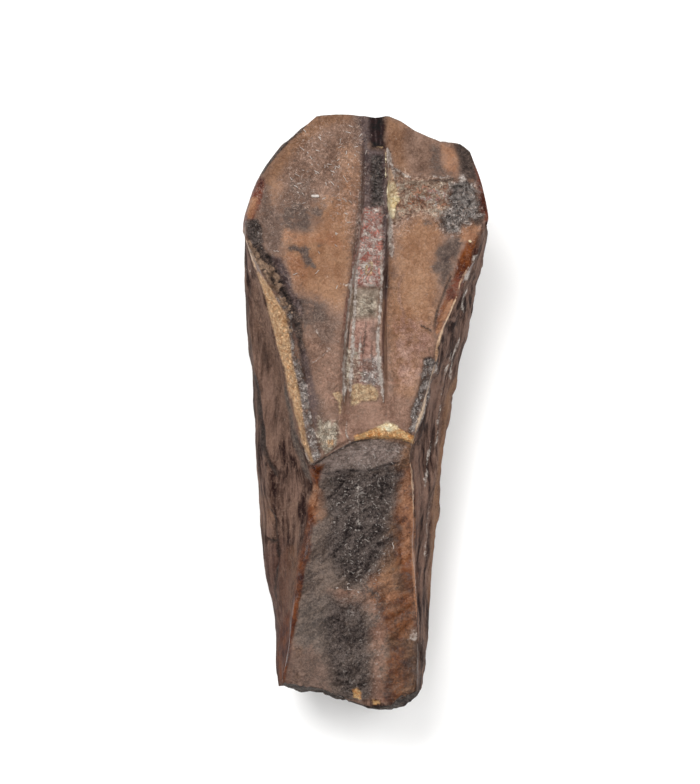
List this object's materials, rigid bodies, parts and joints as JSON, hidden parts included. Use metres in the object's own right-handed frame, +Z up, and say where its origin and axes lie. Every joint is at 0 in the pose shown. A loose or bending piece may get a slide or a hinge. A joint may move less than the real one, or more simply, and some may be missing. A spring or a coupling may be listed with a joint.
{
  "type": "fossil hadrosaur tooth",
  "caption": "Worn fossil hadrosaur tooth lying on its back: a shield-shaped enamel face with a median ridge, on a tapering broken root.",
  "frame": {"origin": "centre of the base of the bounding box, on the surface that the tooth lies on", "axes": "+Y along the tooth from the broken root to the worn crown edge, +Z up and out of the enamel face, +X to the right of the face with the crown at the top"},
  "size_m": [0.0132, 0.032, 0.0102],
  "materials": {
    "fossil": "mineral-stained fossil enamel and dentine: mottled tan, brown and black, glossy on the enamel, dull on the root"
  },
  "bodies": {
    "root": {"tooth": "fossil"}
  },
  "joints": []
}
